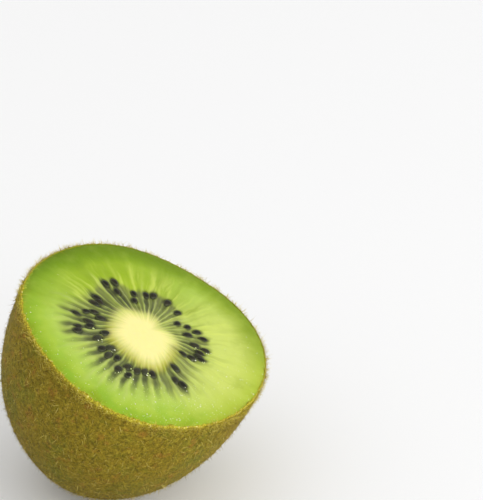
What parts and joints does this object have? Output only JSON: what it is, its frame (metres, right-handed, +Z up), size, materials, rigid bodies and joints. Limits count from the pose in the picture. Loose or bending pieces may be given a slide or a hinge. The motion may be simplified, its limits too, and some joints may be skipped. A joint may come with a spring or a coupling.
{
  "type": "kiwi fruit half",
  "caption": "Green kiwi fruit cut in half across its middle, resting on its rounded stem end with the cut face tipped to one side; fuzzy skin, pale core and a ring of dark seeds.",
  "frame": {"origin": "under the middle of the fruit's box, on the surface it rests on", "axes": "+Z up; X along the broad way of the cut; the cut face leans 23 degrees from level towards -Y"},
  "size_m": [0.0538, 0.0484, 0.0417],
  "materials": {
    "flesh": "moist translucent green fruit flesh",
    "skin": "dull brown fruit skin",
    "fuzz": "short golden brown hairs",
    "seed": "wet black brown seeds",
    "juice": "clear beads of juice"
  },
  "bodies": {
    "root": {"kiwi_half": "flesh"}
  },
  "joints": []
}
